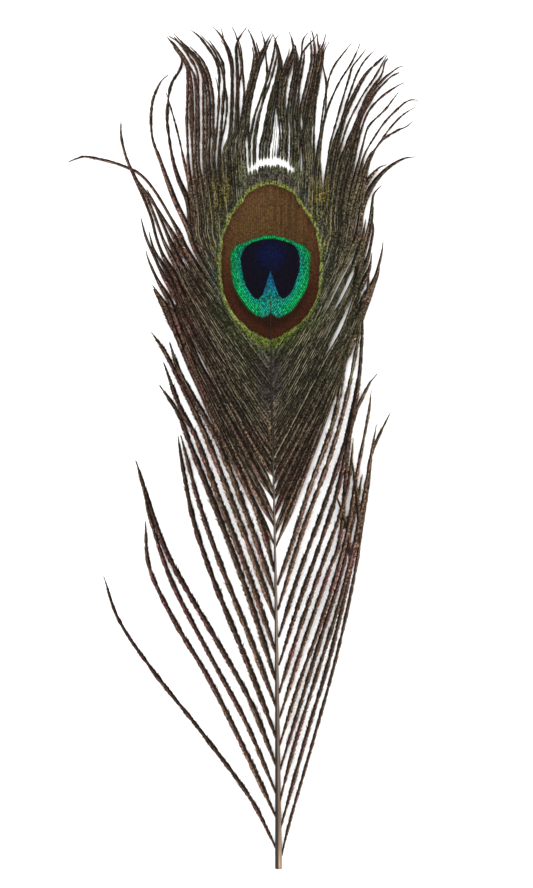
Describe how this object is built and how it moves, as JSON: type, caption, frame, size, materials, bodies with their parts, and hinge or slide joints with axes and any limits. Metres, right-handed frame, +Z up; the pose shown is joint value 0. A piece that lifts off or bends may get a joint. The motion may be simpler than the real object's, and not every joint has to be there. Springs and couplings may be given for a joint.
{
  "type": "peacock feather",
  "caption": "Peacock eye feather lying face up: a slim shaft, loose side barbs, a closed vane with the eye and a fringe of long free barb ends.",
  "frame": {"origin": "on the surface that the feather lies on, under the cut end of the shaft", "axes": "+Y along the shaft from the cut end to the eye, +X to the right as the coloured face is looked at, +Z up off the surface"},
  "size_m": [0.1166, 0.2802, 0.0032],
  "materials": {
    "feather": "iridescent barbs, satin"
  },
  "bodies": {
    "root": {"feather": "feather"}
  },
  "joints": []
}
